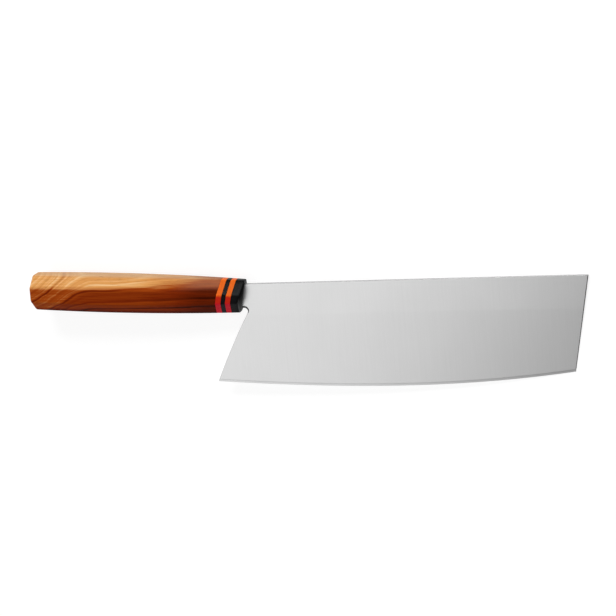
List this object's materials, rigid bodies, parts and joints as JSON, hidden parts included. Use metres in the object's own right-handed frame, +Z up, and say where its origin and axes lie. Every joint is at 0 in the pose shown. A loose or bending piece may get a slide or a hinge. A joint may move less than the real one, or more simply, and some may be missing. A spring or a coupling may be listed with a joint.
{
  "type": "kitchen knife",
  "caption": "Broad square-ended kitchen knife with a stainless blade, a hidden tang and a swelled octagonal wooden handle behind a black collar and red rings; slices and chops food.",
  "frame": {"origin": "on the table the knife lies on, under the middle of its box", "axes": "+X along the knife towards the tip, +Y across the blade towards the spine, +Z up, out of the blade's front face"},
  "size_m": [0.3504, 0.0774, 0.0255],
  "materials": {
    "blade_steel": "satin, fine grinding lines from spine to edge",
    "collar_black": "polished",
    "ring_red": "polished",
    "ring_black": "polished",
    "handle_wood": "oiled and buffed",
    "dowel_wood": "bare",
    "adhesive": "set"
  },
  "bodies": {
    "root": {"blade": "blade_steel", "collar": "collar_black", "front_ring": "ring_red", "middle_ring": "ring_black", "rear_ring": "ring_red", "handle_body": "handle_wood", "core_dowel": "dowel_wood", "tang_adhesive": "adhesive"}
  },
  "joints": []
}
